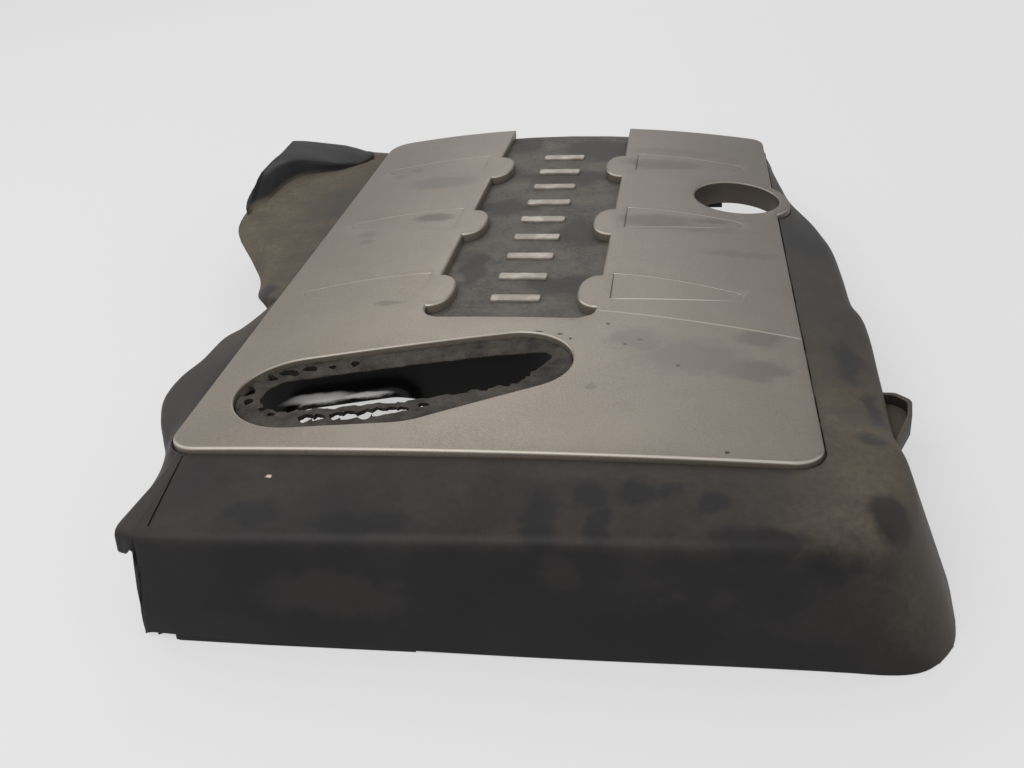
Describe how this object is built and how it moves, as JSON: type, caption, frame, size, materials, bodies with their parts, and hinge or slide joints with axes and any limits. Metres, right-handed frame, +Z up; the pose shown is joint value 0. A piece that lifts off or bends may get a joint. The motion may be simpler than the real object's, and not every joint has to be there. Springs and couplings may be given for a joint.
{
  "type": "engine top cover",
  "caption": "Moulded engine top cover with a deep near end, a silver trim panel, a recessed centre strip, a scoop slot and an oil filler hole, worn and dusty.",
  "frame": {"origin": "centre of the bounding box, on the floor", "axes": "+X to the right across the cover, +Y along it from the deep near end to the far end, +Z up"},
  "size_m": [0.5716, 0.6606, 0.094],
  "materials": {
    "black_plastic": "fine moulded grain, dusty",
    "silver_paint": "satin silver paint, dusty",
    "bright_silver": "satin silver paint",
    "gloss_black": "smooth moulded",
    "foam": "open foam, crumbling",
    "rubber": "matt",
    "spring_steel": "plain"
  },
  "bodies": {
    "root": {"base_cover": "black_plastic", "trim_panel": "silver_paint", "centre_strip": "black_plastic", "strip_bars": "bright_silver", "slot_duct": "gloss_black", "slot_seal": "foam", "foam_pad_left": "foam", "foam_pad_right": "foam", "grommet_near_left": "rubber", "grommet_near_right": "rubber", "grommet_far_left": "rubber", "grommet_far_right": "rubber", "panel_push_nuts": "spring_steel", "strip_push_nuts": "spring_steel"}
  },
  "joints": []
}
